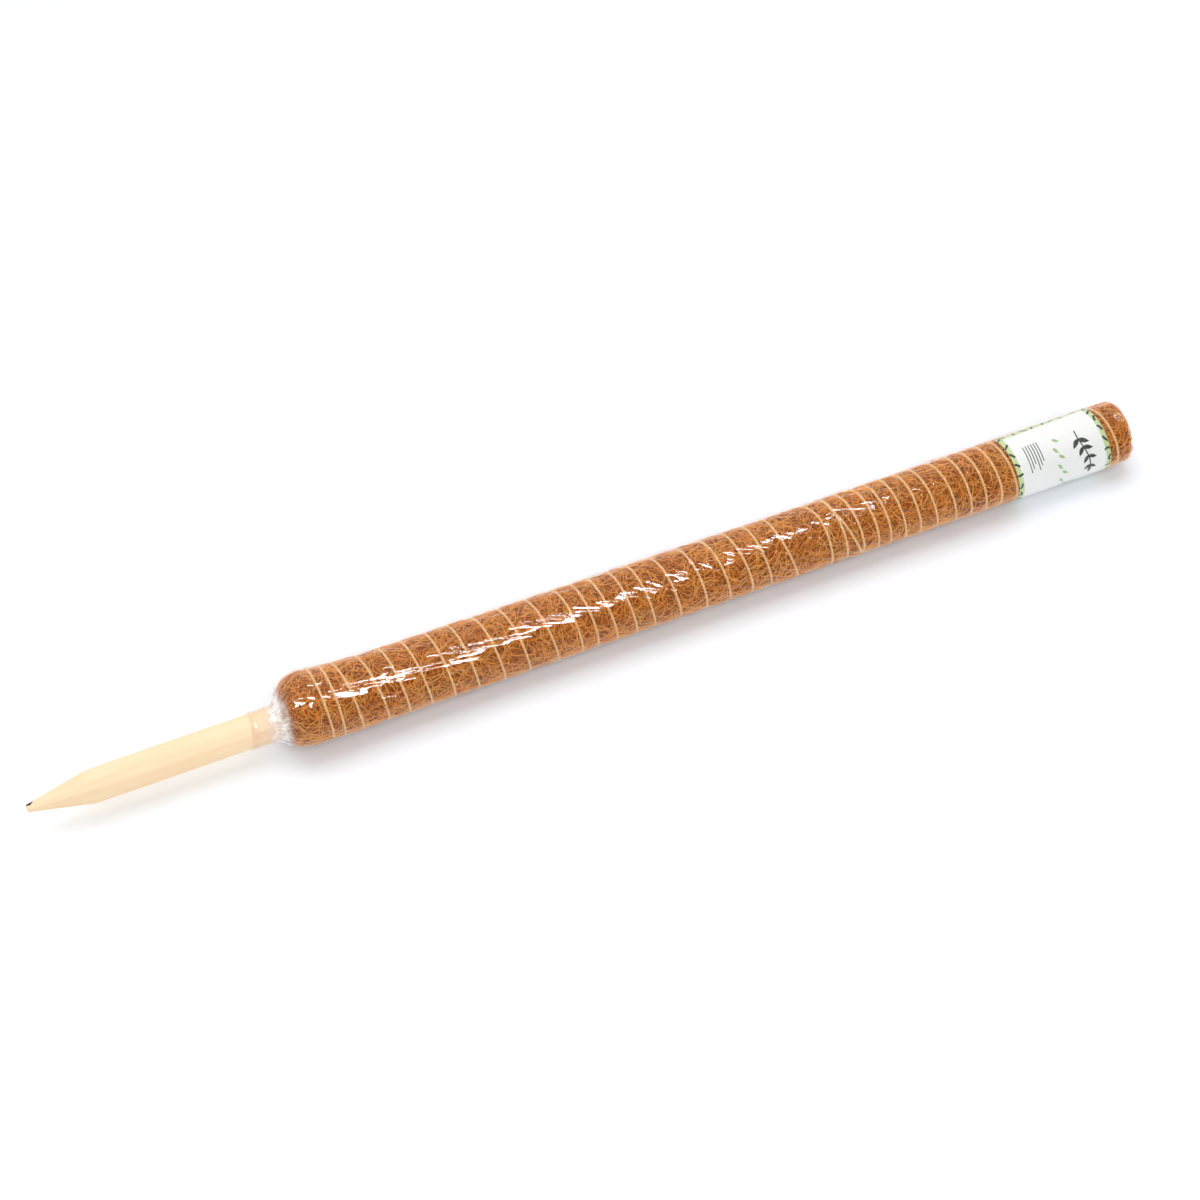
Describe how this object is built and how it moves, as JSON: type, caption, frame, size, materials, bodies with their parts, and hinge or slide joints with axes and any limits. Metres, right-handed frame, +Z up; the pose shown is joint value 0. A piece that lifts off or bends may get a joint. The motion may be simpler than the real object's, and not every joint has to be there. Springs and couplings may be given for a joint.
{
  "type": "moss pole",
  "caption": "Climbing-plant pole lying on its side: a sharpened wooden stake wrapped in coir, bound with spiral twine, with a wrap label under clear shrink film gathered on the stake.",
  "frame": {"origin": "on the resting surface, under the middle of the pole's length", "axes": "+X along the pole from the stake's point to the top, +Z up from the surface that it lies on"},
  "size_m": [0.9144, 0.0606, 0.0621],
  "materials": {
    "stake_wood": "bare pale softwood, sanded",
    "coir": "matted orange-brown coconut fibre",
    "twine": "pale twisted twine",
    "label_paper": "white paper with a light green border",
    "shrink_film": "clear glossy wrinkled shrink film"
  },
  "bodies": {
    "root": {"wooden_stake": "stake_wood", "coir_wrap": "coir", "lower_twine": "twine", "upper_twine": "twine", "paper_label": "label_paper", "film_sleeve": "shrink_film"}
  },
  "joints": []
}
